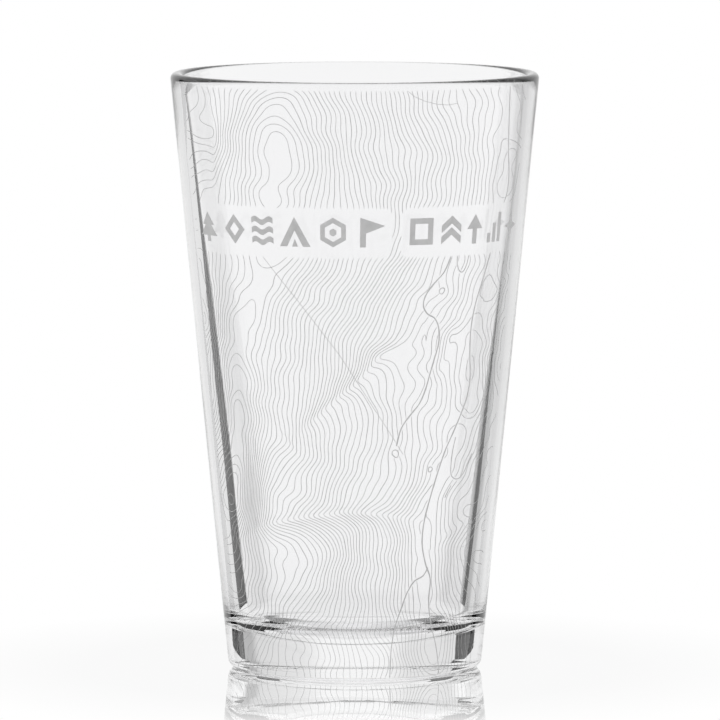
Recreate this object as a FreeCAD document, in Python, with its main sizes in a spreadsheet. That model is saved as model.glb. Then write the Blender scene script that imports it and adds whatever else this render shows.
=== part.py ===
import FreeCAD, Part
import math, os
from FreeCAD import Vector, Placement, Rotation

# ---------------------------------------------------------------------------
# Tapered pint glass with a topographic contour print across the front and sides.
# Frame: +Z up, the axis of the glass on Z, origin on the table at the middle
# of the foot.  The middle of the printed title faces -Y.  Millimetres.
# The glass is one moulded piece.  The print is fired-on enamel: raised
# deposits that sit on the outside of the wall, one node per class of line.
# ---------------------------------------------------------------------------

doc = FreeCAD.newDocument("pint_glass")

# ------------------------------ driving dimensions --------------------------
DIMS = [
    ("overall_height", 144.2, "table to top of lip"),
    ("outer_radius_foot", 30.55, "outside wall, run down to the table"),
    ("outer_radius_rim", 44.60, "outside wall, run up to the lip"),
    ("inner_radius_foot", 24.10, "inside wall, run down to the table"),
    ("inner_radius_rim", 41.48, "inside wall, run up to the lip"),
    ("floor_height", 7.5, "lowest point of the bowl-shaped inside floor, above the table"),
    ("floor_edge_height", 11.7, "where the inside wall, run down, meets the bowl of the floor"),
    ("corner_radius", 6.0, "inside corner between wall and floor"),
    ("heel_radius", 2.4, "outside corner at the foot"),
    ("lip_radius", 1.40, "both edges of the fire-polished lip"),
    ("ring_inner_radius", 25.4, "inside edge of the bearing ring"),
    ("dome_height", 1.6, "push-up under the foot"),
    ("print_thickness", 0.05, "height of the enamel above the glass"),
    ("print_bottom", 3.0, "lowest end of the printed lines"),
    ("print_top", 142.3, "highest end of the printed lines"),
    ("contour_width", 0.22, "fine contour line"),
    ("index_width", 0.28, "every fifth contour line"),
    ("stream_width", 0.38, "stream line"),
    ("shore_width", 0.30, "outline of a tarn or pond"),
    ("survey_width", 0.16, "survey boundary line"),
    ("title_bottom", 105.1, "foot of the title marks"),
    ("title_top", 112.2, "top of the title marks"),
    ("title_gap_bottom", 102.6, "lower edge of the clear title bands"),
    ("title_gap_top", 114.2, "upper edge of the clear title bands"),
    ("print_half_angle", 68.0, "the print reaches this many degrees each side of the front"),
]
sheet = doc.addObject("Spreadsheet::Sheet", "dims")
sheet.Label = "dims"
for row, (alias, value, note) in enumerate(DIMS, start=1):
    sheet.set("A%d" % row, alias)
    sheet.set("B%d" % row, "%.4f" % value)
    sheet.setAlias("B%d" % row, alias)
    sheet.set("C%d" % row, note)
doc.recompute()


def dim(name):
    return float(sheet.get(name))


H = dim("overall_height")
R_FOOT, R_RIM = dim("outer_radius_foot"), dim("outer_radius_rim")
THICK = dim("print_thickness")


def wall(z):
    """Outside radius of the straight wall at height z."""
    return R_FOOT + (R_RIM - R_FOOT) * z / H


# ------------------------------ 1. glass body -------------------------------
body = doc.addObject("PartDesign::Body", "glass_body")
body.Label = "glass_body"
xz = [f for f in body.Origin.OriginFeatures if f.Role == "XZ_Plane"][0]

sk = body.newObject("Sketcher::SketchObject", "wall_profile")
sk.AttachmentSupport = [(xz, "")]
sk.MapMode = "FlatFace"
import Sketcher

r_floor = dim("inner_radius_foot") + (dim("inner_radius_rim") - dim("inner_radius_foot")) * dim("floor_edge_height") / H
rise = dim("floor_edge_height") - dim("floor_height")
bowl = (r_floor * r_floor + rise * rise) / (2 * rise)
P = [(0, 0), (R_FOOT, 0), (R_RIM, H), (dim("inner_radius_rim"), H), (r_floor, dim("floor_edge_height")), (0, dim("floor_height"))]
for i in range(6):
    a, b = P[i], P[(i + 1) % 6]
    if i == 4:
        ring = Part.Circle(Vector(0, dim("floor_height") + bowl, 0), Vector(0, 0, 1), bowl)
        sk.addGeometry(Part.ArcOfCircle(ring, -math.pi / 2, math.atan2(a[1] - dim("floor_height") - bowl, a[0])), False)
    else:
        sk.addGeometry(Part.LineSegment(Vector(a[0], a[1], 0), Vector(b[0], b[1], 0)), False)
for i, j, k, m in ((0, 2, 1, 1), (1, 2, 2, 1), (2, 2, 3, 1), (3, 2, 4, 2), (4, 1, 5, 1), (5, 2, 0, 1)):
    sk.addConstraint(Sketcher.Constraint("Coincident", i, j, k, m))
sk.addConstraint(Sketcher.Constraint("Coincident", 0, 1, -1, 1))
sk.addConstraint(Sketcher.Constraint("Horizontal", 0))
sk.addConstraint(Sketcher.Constraint("Horizontal", 2))
sk.addConstraint(Sketcher.Constraint("PointOnObject", 4, 3, -2))
sk.addConstraint(Sketcher.Constraint("Vertical", 5))


def driven(sketch, kind, args, value, name, expr):
    n = sketch.addConstraint(Sketcher.Constraint(kind, *args, value))
    sketch.renameConstraint(n, name)
    sketch.setExpression("Constraints." + name, expr)


driven(sk, "DistanceX", (0, 1, 0, 2), R_FOOT, "foot_r", "dims.outer_radius_foot")
driven(sk, "DistanceX", (-1, 1, 1, 2), R_RIM, "rim_r", "dims.outer_radius_rim")
driven(sk, "DistanceY", (-1, 1, 1, 2), H, "height", "dims.overall_height")
driven(sk, "DistanceX", (-1, 1, 3, 1), dim("inner_radius_rim"), "mouth_r", "dims.inner_radius_rim")
driven(sk, "DistanceX", (-1, 1, 3, 2), r_floor, "floor_r",
       "dims.inner_radius_foot + (dims.inner_radius_rim - dims.inner_radius_foot) * dims.floor_edge_height / dims.overall_height")
driven(sk, "DistanceY", (-1, 1, 3, 2), dim("floor_edge_height"), "floor_edge_z", "dims.floor_edge_height")
driven(sk, "DistanceY", (-1, 1, 5, 1), dim("floor_height"), "floor_z", "dims.floor_height")

rev = body.newObject("PartDesign::Revolution", "wall_turn")
rev.Profile = sk
rev.ReferenceAxis = (sk, ["V_Axis"])
rev.Angle = 360.0
doc.recompute()
full = rev.Shape.Volume

# push-up under the foot: a shallow spherical dish inside the bearing ring
rin, dome = dim("ring_inner_radius"), dim("dome_height")
rd = (rin * rin + dome * dome) / (2 * dome)
a0 = math.atan2(rd - dome, rin)
sk2 = body.newObject("Sketcher::SketchObject", "push_up_profile")
sk2.AttachmentSupport = [(xz, "")]
sk2.MapMode = "FlatFace"
sk2.addGeometry(Part.ArcOfCircle(Part.Circle(Vector(0, dome - rd, 0), Vector(0, 0, 1), rd), a0, math.pi / 2), False)
sk2.addGeometry(Part.LineSegment(Vector(0, dome, 0), Vector(0, -1, 0)), False)
sk2.addGeometry(Part.LineSegment(Vector(0, -1, 0), Vector(rin, -1, 0)), False)
sk2.addGeometry(Part.LineSegment(Vector(rin, -1, 0), Vector(rin, 0, 0)), False)
sk2.addConstraint(Sketcher.Constraint("Coincident", 0, 2, 1, 1))
sk2.addConstraint(Sketcher.Constraint("Coincident", 1, 2, 2, 1))
sk2.addConstraint(Sketcher.Constraint("Coincident", 2, 2, 3, 1))
sk2.addConstraint(Sketcher.Constraint("Coincident", 3, 2, 0, 1))
sk2.addConstraint(Sketcher.Constraint("Vertical", 1))
sk2.addConstraint(Sketcher.Constraint("Horizontal", 2))
sk2.addConstraint(Sketcher.Constraint("Vertical", 3))
sk2.addConstraint(Sketcher.Constraint("PointOnObject", 0, 3, -2))
sk2.addConstraint(Sketcher.Constraint("PointOnObject", 0, 2, -2))
sk2.addConstraint(Sketcher.Constraint("PointOnObject", 3, 2, -1))
driven(sk2, "DistanceX", (-1, 1, 3, 2), rin, "ring_r", "dims.ring_inner_radius")
driven(sk2, "DistanceY", (-1, 1, 0, 2), dome, "dome", "dims.dome_height")
sk2.addConstraint(Sketcher.Constraint("DistanceY", 1, 2, -1, 1, 1.0))
groove = body.newObject("PartDesign::Groove", "push_up")
groove.Profile = sk2
groove.ReferenceAxis = (sk2, ["V_Axis"])
groove.Angle = 360.0
doc.recompute()
dish = math.pi * dome * (3 * rin * rin + dome * dome) / 6
assert abs((full - groove.Shape.Volume) - dish) < 0.01 * dish, "the push-up did not cut"


def ring_edge(shape, radius, z):
    for n, e in enumerate(shape.Edges, start=1):
        if e.Degenerated:
            continue
        c = e.Curve
        if hasattr(c, "Radius") and abs(c.Radius - radius) < 0.05 and abs(c.Center.z - z) < 0.05 and abs(c.Center.x) < 1e-6:
            return "Edge%d" % n
    raise RuntimeError("no edge of radius %g at %g" % (radius, z))


def fillet(name, base, edges, expr):
    f = body.newObject("PartDesign::Fillet", name)
    f.Base = (base, edges)
    f.setExpression("Radius", expr)
    doc.recompute()
    return f


f1 = fillet("inside_corner", groove, [ring_edge(groove.Shape, r_floor, dim("floor_edge_height"))], "dims.corner_radius")
f2 = fillet("heel", f1, [ring_edge(f1.Shape, R_FOOT, 0.0)], "dims.heel_radius")
f3 = fillet("lip", f2, [ring_edge(f2.Shape, R_RIM, H), ring_edge(f2.Shape, dim("inner_radius_rim"), H)], "dims.lip_radius")
body.Tip = f3
body.Placement = Placement()
doc.recompute()

# ------------------------------ terrain of the print ------------------------
# A height field set by hand over the unrolled wall.  t is the angle round the
# glass in degrees (0 faces -Y, + towards +X), z the height in mm, h the level
# in contour intervals.  Spot heights carry the large shape, waves roughen it,
# and gullies notch it so that the lines bend into a V.
SPOTS = [
(-59.2,141.8,27), (-48.4,142.2,30), (-39.7,142.5,33.5), (-32.1,142.7,37.5), (-25.1,142.9,39), (-16.9,143,37), (-7.5,143.1,32), (3.1,143.1,25.5),
(13.9,143,18.5), (26.9,142.8,11), (39.9,142.5,5), (55.3,141.9,0.5), (66.6,141.5,2.5), (-59.1,128.1,30.6), (-47.1,128.6,33.2), (-39.2,128.9,38.5),
(-31.4,129.1,42.5), (-25.6,129.3,44.6), (-19.1,129.4,43), (-7.8,129.5,35.5), (3.2,129.6,28), (14.3,129.5,21), (27.9,129.2,13), (41.5,128.8,6),
(58.1,128.2,0.2), (70.6,127.6,2), (-62.5,114.7,34.5), (-50.2,115.3,36), (-40.7,115.7,40.5), (-29.4,116,46), (-21.5,116.2,43.5), (-8,116.4,36),
(3.3,116.4,29), (14.8,116.3,21), (28.9,116.1,12), (43.1,115.6,5), (57.3,115,0), (69.8,114.4,2.5), (-37.9,102.6,42), (-29.7,102.9,43),
(-18.7,103.1,39), (-8.3,103.3,33), (3.4,103.3,27), (15.3,103.2,19), (29.9,102.9,9), (42.6,102.4,4), (51.7,102,0), (64.4,101.4,3.5), (-35,89.5,40.5),
(-23,89.8,35), (-8.6,90.1,27.5), (3.5,90.1,20.5), (15.8,90,12.5), (25.1,89.8,8), (33.1,89.5,6.5), (39.7,89.3,3), (46.5,89,-0.4), (62.7,88.2,4.5),
(-27.6,80.1,35), (-16.1,80.4,29), (-3.5,80.5,21), (9,80.5,13.5), (20,80.3,9), (31.1,80,5.5), (38.5,79.7,3), (45.9,79.4,-0.8), (59.3,78.7,4),
(-28.6,68,34.5), (-16.6,68.3,28.5), (-3.6,68.5,20.5), (9.3,68.4,13), (20.7,68.2,7.5), (33.1,67.9,4.5), (45.7,67.3,-1), (58,66.7,4), (-38,55.6,37),
(-25.4,56,32), (-13.3,56.3,26), (-1.8,56.4,18.5), (9.6,56.4,12.5), (21.4,56.1,6), (32.1,55.8,2), (40.2,55.5,-1.2), (51.4,55,3.5), (-39.3,45.9,35),
(-26.1,46.3,30), (-13.7,46.6,24), (-1.9,46.7,17.5), (9.8,46.7,12), (22,46.5,5.5), (32.6,46.1,-1.5), (41.6,45.8,3), (52.2,45.2,6), (-41,33.7,36.5),
(-27.2,34.2,33), (-14.2,34.5,28.5), (-3.9,34.6,22), (6.1,34.6,14), (16.4,34.5,8), (28.3,34.2,-1.7), (37,33.8,4), (52.1,33.1,8.5), (-38.4,21.6,34),
(-25.9,22.1,29.5), (-14.7,22.4,25.5), (-4.1,22.5,19), (6.4,22.5,12.5), (17.1,22.3,6.5), (32.9,21.8,-2), (41.4,21.5,3.5), (52.1,20.9,8), (-57.2,6,35),
(-40.6,6.9,31.5), (-27.2,7.4,27.5), (-15.4,7.7,23.5), (-4.3,7.9,18.5), (6.7,7.9,13), (20.2,7.6,7), (38.5,7,-2.3), (50.5,6.4,4), (59.3,5.9,7),
(-51.8,91.2,37.4), (-58.5,91.2,33.4), (-64,91,30.5), (-56.2,99,33.6), (-49.5,100,37.2), (-63,100.5,30.5), (-52.5,79.5,40.3), (-57,79.5,36.8),
(-62,79.5,33.8), (-55.5,66.5,42.6), (-61,66.5,38.2), (-41,79.5,40.6), (-42,67.5,42.6), (-69,85,28), (-70,70,33), (-46.1,87.5,40.2), (-45.5,94,38.6),
(-42.5,100,39), (-47.3,79.5,43.2), (-48.4,73,45.2), (-49.9,64.5,47.2), (-50.5,54.8,48.4), (-51.9,45.3,48), (-56.5,54.7,45), (-54.7,33,44.5),
(-53.3,20.9,40),
(90,10,9),(90,60,7),(91,110,6),(90,141,5),(110,20,15),(110,70,12),(110,125,13),(135,20,20),(135,55,17),(135,90,22),(135,130,18),
(160,12,24),(160,60,21),(160,96,34),(160,138,24),(182,22,20),(180,50,15),(182,82,32),(182,130,22),(205,8,18),(205,40,12),(205,75,24),(205,108,30),(205,141,24),
(230,20,24),(230,55,20),(230,90,31),(230,130,27),(255,14,32),(255,50,33),(255,85,36),(255,122,30),(272,8,37),(272,50,38.5),(272,85,38),(272,115,33),(272,138,27)]
WAVES = [
(0.50,3,0.018,0.4),(0.42,5,-0.028,2.1),(0.34,8,0.040,4.0),(0.26,11,-0.052,1.1),(0.20,7,0.085,5.2),(0.15,13,0.105,0.7),
(0.11,5,0.130,3.3),(0.10,17,-0.115,2.6),(0.07,9,-0.160,1.7),(0.06,14,0.185,4.6)]
GULLIES = [
(5.4,3.6,[(-25,58.0),(-14,64.6),(-4,70.2),(3,74.2),(8,78.4),(16,81.0),(26,82.0)]),
(6.8,4.2,[(-56,32.0),(-41,37.2),(-23,39.6),(-4,41.4),(14,40.4),(29,38.4)]),
(2.4,2.6,[(-54.5,117),(-52,124),(-50.4,130),(-50.8,138)]),
(3.0,2.4,[(38,87),(34.5,79),(30.5,72.2)]),
(2.6,3.4,[(-48,6),(-29,11.4),(-10,13.6),(11,11.6),(34,7.4)]),
(2.6,3.2,[(62,71),(52,66),(45,63)]),
(2.6,3.0,[(66,41),(48,37),(32,32)]),
(2.4,3.0,[(72,98),(62,94),(51,92)]),
(4.0,3.8,[(150,120),(140,104),(128,92),(112,86),(92,80)]),
(4.4,3.8,[(176,110),(196,96),(210,84),(216,66),(206,44)]),
(3.6,3.4,[(150,76),(146,60),(150,44),(168,32)]),
(3.8,3.6,[(246,116),(236,98),(222,88),(210,86)]),
(3.4,3.4,[(256,72),(240,62),(222,52),(207,42)]),
(3.0,3.2,[(266,40),(250,30),(236,22)])]

RM = 37.5
C2 = 49.0


def solve(A, b):
    n = len(b)
    for i in range(n):
        p = max(range(i, n), key=lambda k: abs(A[k][i]))
        if p != i:
            A[i], A[p] = A[p], A[i]
            b[i], b[p] = b[p], b[i]
        ai = A[i]
        inv = 1.0 / ai[i]
        for k in range(i + 1, n):
            ak = A[k]
            f = ak[i] * inv
            if f:
                for j in range(i, n):
                    ak[j] -= f * ai[j]
                b[k] -= f * b[i]
    x = [0.0] * n
    for i in range(n - 1, -1, -1):
        s = b[i]
        ai = A[i]
        for j in range(i + 1, n):
            s -= ai[j] * x[j]
        x[i] = s / ai[i]
    return x


def on_drum(t, z):
    a = math.radians(t)
    return RM * math.cos(a), RM * math.sin(a), z


MEAN = sum(p[2] for p in SPOTS) / len(SPOTS)
DRUM = [on_drum(t, z) for t, z, h in SPOTS]
MAT = []
for i, (x, y, z) in enumerate(DRUM):
    MAT.append([math.sqrt((x - q[0]) ** 2 + (y - q[1]) ** 2 + (z - q[2]) ** 2 + C2) for q in DRUM])
    MAT[i][i] -= 0.35
WEIGHT = solve(MAT, [p[2] - MEAN for p in SPOTS])
CENTRES = [(q[0], q[1], q[2], w) for q, w in zip(DRUM, WEIGHT)]
PERIOD = 2 * math.pi * RM


def gully(t, z):
    g = 0.0
    u0 = math.radians(t) * RM
    for depth, width, pts in GULLIES:
        q = [(math.radians(a) * RM, b) for a, b in pts]
        um = 0.5 * (q[0][0] + q[-1][0])
        u = u0
        while u - um > PERIOD / 2:
            u -= PERIOD
        while u - um < -PERIOD / 2:
            u += PERIOD
        best, at, total = 1e9, 0.0, 0.0
        for i in range(len(q) - 1):
            ax, ay = q[i]
            dx, dy = q[i + 1][0] - ax, q[i + 1][1] - ay
            ll = dx * dx + dy * dy
            s = min(1.0, max(0.0, ((u - ax) * dx + (z - ay) * dy) / ll))
            dd = (u - ax - s * dx) ** 2 + (z - ay - s * dy) ** 2
            if dd < best:
                best, at = dd, total + s * math.sqrt(ll)
            total += math.sqrt(ll)
        if best < (6 * width) ** 2:
            e = min(1.0, min(at, total - at) / (0.30 * total))
            if e > 0:
                e = e * e * (3 - 2 * e)
                g -= depth * (0.15 + 0.85 * e) * math.exp(-math.sqrt(best + 0.12) / width)
    return g


def height(t, z):
    a = math.radians(t)
    X, Y = RM * math.cos(a), RM * math.sin(a)
    h = MEAN
    sq = math.sqrt
    for x, y, zz, w in CENTRES:
        h += w * sq((X - x) * (X - x) + (Y - y) * (Y - y) + (z - zz) * (z - zz) + C2)
    for A, k, m, p in WAVES:
        h += A * math.sin(k * a + 2 * math.pi * m * z + p)
    return h + gully(t, z)


NT, NZ = 360, 190
Z0, Z1 = dim("print_bottom"), dim("print_top")
FIELD = [[height(360.0 * i / NT - 180.0, Z0 + (Z1 - Z0) * j / NZ) for i in range(NT)] for j in range(NZ + 1)]


def trace(level):
    """Marching squares on the grid, which wraps round the glass."""
    near, pos = {}, {}

    def join(a, b):
        near.setdefault(a, []).append(b)
        near.setdefault(b, []).append(a)

    for j in range(NZ):
        r0, r1 = FIELD[j], FIELD[j + 1]
        for i in range(NT):
            k = (i + 1) % NT
            a, b, c, d = r0[i] - level, r0[k] - level, r1[k] - level, r1[i] - level
            m = (a > 0) + (b > 0) + (c > 0) + (d > 0)
            if m == 0 or m == 4:
                continue
            e = []
            if (a > 0) != (b > 0):
                pos[(0, i, j)] = (i + a / (a - b), j)
                e.append((0, i, j))
            if (b > 0) != (c > 0):
                pos[(1, k, j)] = (i + 1, j + b / (b - c))
                e.append((1, k, j))
            if (d > 0) != (c > 0):
                pos[(0, i, j + 1)] = (i + d / (d - c), j + 1)
                e.append((0, i, j + 1))
            if (a > 0) != (d > 0):
                pos[(1, i, j)] = (i, j + a / (a - d))
                e.append((1, i, j))
            if len(e) == 2:
                join(e[0], e[1])
            elif (a + b + c + d > 0) == (a > 0):
                join(e[0], e[1])
                join(e[2], e[3])
            else:
                join(e[0], e[3])
                join(e[1], e[2])
    used, chains = set(), []

    def walk(s):
        line = [s]
        used.add(s)
        while True:
            nx = [q for q in near[line[-1]] if q not in used]
            if not nx:
                return line
            used.add(nx[0])
            line.append(nx[0])

    for s in near:
        if s not in used and len(near[s]) == 1:
            chains.append((walk(s), False))
    for s in near:
        if s not in used:
            chains.append((walk(s), True))
    out = []
    for chain, closed in chains:
        pts, turn, last = [], 0.0, None
        for key in chain:
            x, y = pos[key]
            x = x % NT
            if last is not None:
                while x + turn - last > NT / 2:
                    turn -= NT
                while x + turn - last < -NT / 2:
                    turn += NT
            last = x + turn
            pts.append((360.0 * (x + turn) / NT - 180.0, Z0 + (Z1 - Z0) * y / NZ))
        if closed:
            pts.append((pts[0][0] + 360.0 * round((pts[-1][0] - pts[0][0]) / 360.0), pts[0][1]))
        out.append(pts)
    return out


# ------------------------------ line tools ----------------------------------
def flat(p):
    return math.radians(p[0]) * wall(p[1]), p[1]


def span(p, q):
    return math.hypot(math.radians(p[0] - q[0]) * wall(0.5 * (p[1] + q[1])), p[1] - q[1])


def resample(pts, step):
    """Evenly spaced points along a line, ends kept."""
    s = [0.0]
    for a, b in zip(pts, pts[1:]):
        s.append(s[-1] + span(a, b))
    n = max(3, int(round(s[-1] / step)))
    out, k = [], 0
    for i in range(n + 1):
        d = s[-1] * i / n
        while k < len(pts) - 2 and s[k + 1] < d:
            k += 1
        f = (d - s[k]) / (s[k + 1] - s[k]) if s[k + 1] > s[k] else 0.0
        out.append((pts[k][0] + f * (pts[k + 1][0] - pts[k][0]), pts[k][1] + f * (pts[k + 1][1] - pts[k][1])))
    return out


def length(pts):
    return sum(span(a, b) for a, b in zip(pts, pts[1:]))


def smooth(pts, rounds):
    for _ in range(rounds):
        pts = [pts[0]] + [(0.25 * a[0] + 0.5 * b[0] + 0.25 * c[0], 0.25 * a[1] + 0.5 * b[1] + 0.25 * c[1])
                          for a, b, c in zip(pts, pts[1:], pts[2:])] + [pts[-1]]
    return pts


def curve(pts, step=0.5):
    """Smooth line through hand-placed points (Catmull-Rom)."""
    q = [pts[0]] + list(pts) + [pts[-1]]
    out = []
    for i in range(1, len(q) - 2):
        a, b, c, d = q[i - 1], q[i], q[i + 1], q[i + 2]
        n = max(2, int(span(b, c) / step))
        for k in range(n):
            u = k / n
            out.append(tuple(0.5 * (2 * b[m] + (c[m] - a[m]) * u + (2 * a[m] - 5 * b[m] + 4 * c[m] - d[m]) * u * u
                                    + (3 * b[m] - a[m] - 3 * c[m] + d[m]) * u ** 3) for m in (0, 1)))
    return out + [pts[-1]]


def cut_lines(lines, blocked, step=0.25, shortest=2.0):
    """Drop the stretches of each line that blocked() refuses."""
    out = []
    for pts in lines:
        run = []
        for p in resample(pts, step):
            if blocked(p):
                if len(run) > 1 and length(run) > shortest:
                    out.append(run)
                run = []
            else:
                run.append(p)
        if len(run) > 1 and length(run) > shortest:
            out.append(run)
    return out


def unpinch(lines, gap, step=0.2, shortest=2.0):
    """Break a line where it turns back on itself within gap."""
    out = []
    for pts in lines:
        q = resample(pts, step)
        n = len(q)
        xy = [flat(p) for p in q]
        apart = int(math.ceil(1.9 * gap / step)) + 1
        loop = math.hypot(xy[0][0] - xy[-1][0], xy[0][1] - xy[-1][1]) < 2 * step
        cells, tight = {}, [False] * n
        for i, (x, y) in enumerate(xy):
            cells.setdefault((int(x // gap), int(y // gap)), []).append(i)
        for i, (x, y) in enumerate(xy):
            cx, cy = int(x // gap), int(y // gap)
            for a in (-1, 0, 1):
                for b in (-1, 0, 1):
                    for k in cells.get((cx + a, cy + b), ()):
                        d = abs(k - i)
                        if loop:
                            d = min(d, n - 1 - d)
                        if d > apart and (x - xy[k][0]) ** 2 + (y - xy[k][1]) ** 2 < gap * gap:
                            tight[i] = True
        if not any(tight):
            out.append(pts)
            continue
        run = []
        for i in range(n):
            if tight[i]:
                if len(run) > 1 and length(run) > shortest:
                    out.append(run)
                run = []
            else:
                run.append(q[i])
        if len(run) > 1 and length(run) > shortest:
            out.append(run)
    return out


def ease(pts, step=0.3, turn=0.60):
    """Round off any corner that turns more than turn radians in one step."""
    q = resample(pts, step)
    for _ in range(12):
        xy = [flat(p) for p in q]
        hot = set()
        for i in range(1, len(q) - 1):
            ax, ay = xy[i][0] - xy[i - 1][0], xy[i][1] - xy[i - 1][1]
            bx, by = xy[i + 1][0] - xy[i][0], xy[i + 1][1] - xy[i][1]
            if abs(math.atan2(ax * by - ay * bx, ax * bx + ay * by)) > turn:
                hot.update(range(max(1, i - 2), min(len(q) - 1, i + 3)))
        if not hot:
            break
        q = [((0.25 * q[i - 1][0] + 0.5 * q[i][0] + 0.25 * q[i + 1][0], 0.25 * q[i - 1][1] + 0.5 * q[i][1] + 0.25 * q[i + 1][1])
              if i in hot else q[i]) for i in range(len(q))]
        q = resample(q, step)
    return q


# ------------------------------ hand-placed lines ---------------------------
STREAMS = [
    [(56.5, 142.2), (57.4, 135.0), (58.6, 127.5), (60.4, 121.0), (60.2, 116.8), (58.6, 114.3)],
    [(53.0, 102.5), (50.2, 96.8), (47.0, 90.6), (45.6, 84.6), (45.9, 78.6), (47.0, 73.0), (46.2, 68.4), (43.6, 64.2),
     (40.4, 60.0), (36.8, 55.4), (33.9, 50.2), (31.2, 44.6), (28.9, 38.8), (28.4, 33.4), (30.3, 28.6), (33.2, 24.4),
     (33.0, 19.2), (34.8, 13.6), (38.2, 8.2), (40.4, 3.2)],
    [(31.8, 27.4), (29.6, 25.4), (25.6, 24.2), (22.6, 21.6), (20.4, 18.2), (17.6, 13.4), (16.2, 8.4), (15.9, 3.6)],
    [(34.4, 102.4), (32.0, 98.8), (28.4, 96.2), (25.4, 93.6), (24.4, 91.0), (26.0, 88.9), (29.2, 87.6), (31.0, 85.0),
     (31.2, 81.6), (29.8, 78.0), (28.2, 74.2), (26.6, 70.4), (24.4, 67.2), (20.8, 64.4), (17.6, 61.4), (15.9, 57.2)],
]
SHORES = [
    [(41.6, 58.6), (40.4, 54.6), (40.3, 50.2), (41.8, 48.7), (44.6, 48.4), (47.2, 49.6), (49.4, 52.0), (51.6, 54.2)],
    [(37.0, 102.4), (37.2, 100.4), (38.4, 98.7), (40.0, 98.6), (41.4, 100.4), (42.0, 102.4)],
    [(40.9, 46.9), (39.3, 45.4), (38.1, 44.0)],
]
PONDS = [(31.4, 94.2, 0.72, 1.0), (15.6, 55.4, 0.78, 1.15), (30.4, 51.2, 0.62, 0.9), (53.9, 37.6, 0.58, 1.1)]
for t, z, r, e in PONDS:
    ring = []
    for k in range(25):
        a = 2 * math.pi * k / 24
        q = 1 + 0.10 * math.sin(2 * a + t) + 0.06 * math.sin(3 * a + z)
        ring.append((t + math.degrees(r * q * math.cos(a) / wall(z)), z + r * e * q * math.sin(a)))
    SHORES.append(ring)
SURVEY = [
    [(-32.6, 102.4), (-19.4, 91.6), (-5.8, 79.6), (6.4, 67.0), (18.8, 55.0)],
    [(16.6, 142.2), (18.6, 140.9), (22.0, 139.8), (26.0, 139.0), (30.0, 138.7), (33.4, 139.0)],
]

GAP_LO, GAP_HI = dim("title_gap_bottom"), dim("title_gap_top")
HALF = dim("print_half_angle")
BANDS = [(-66.0, 12.4), (15.6, 70.5)]


def in_band(p):
    t = (p[0] + 180.0) % 360.0 - 180.0
    if abs(t) > HALF:
        return True
    for a, b in BANDS:
        c = (a + b) / 2
        x = abs(t - c) * math.radians(1) * 41.0
        hx = (b - a) / 2 * math.radians(1) * 41.0
        z = abs(p[1] - 0.5 * (GAP_LO + GAP_HI))
        hz = 0.5 * (GAP_HI - GAP_LO)
        if x < hx and z < hz:
            dx, dz = x - (hx - 2.0), z - (hz - 2.0)
            if not (dx > 0 and dz > 0 and dx * dx + dz * dz > 4.0):
                return True
    return False


def beside(lines, gap):
    """A test for being within gap of any of these lines (in the unrolled wall)."""
    cells = {}
    for pts in lines:
        for p in resample(pts, 0.12):
            u = (p[0] % 360.0)
            cells.setdefault((int(u), int(p[1])), []).append((u, p[1]))

    def test(p):
        u = p[0] % 360.0
        k = math.radians(1) * wall(p[1])
        for i in (-1, 0, 1):
            for j in (-1, 0, 1):
                for q in cells.get(((int(u) + i) % 360, int(p[1]) + j), ()):
                    du = abs(u - q[0])
                    du = min(du, 360.0 - du) * k
                    if du * du + (p[1] - q[1]) ** 2 < gap * gap:
                        return True
        return False
    return test


streams = cut_lines([curve(s) for s in STREAMS], in_band, 0.2)
sw, hw, cw, iw, vw = (dim(n) for n in ("stream_width", "shore_width", "contour_width", "index_width", "survey_width"))
near_stream = beside(streams, 0.5 * (sw + hw) + 0.03)
shores = cut_lines([curve(s) for s in SHORES], lambda p: in_band(p) or near_stream(p), 0.12, 1.0)
water = [(beside(streams, 0.5 * (sw + w) + 0.03), beside(shores, 0.5 * (hw + w) + 0.03)) for w in (cw, iw, vw)]
fine, index = [], []
low = min(min(r) for r in FIELD)
high = max(max(r) for r in FIELD)
for n in range(int(math.floor(low)), int(math.ceil(high)) + 1):
    for pts in trace(n + 0.5):
        if length(pts) > 5.0:
            pts = ease(smooth(pts, 2))
            (index if n % 5 == 0 else fine).append(pts)
fine, index = unpinch(fine, cw + 0.10), unpinch(index, iw + 0.10)
fine = cut_lines(fine, lambda p: in_band(p) or water[0][0](p) or water[0][1](p))
index = cut_lines(index, lambda p: in_band(p) or water[1][0](p) or water[1][1](p))
near_fine = beside(fine, 0.5 * (cw + vw) + 0.03)
near_index = beside(index, 0.5 * (iw + vw) + 0.03)
survey = cut_lines([resample(s, 0.5) for s in SURVEY],
                   lambda p: in_band(p) or water[2][0](p) or water[2][1](p) or near_fine(p) or near_index(p), 0.1, 0.5)


# ------------------------------ ribbons of enamel ---------------------------
def at(t, z, lift):
    a = math.radians(t)
    r = wall(z) + lift
    return Vector(r * math.sin(a), -r * math.cos(a), z)


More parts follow.
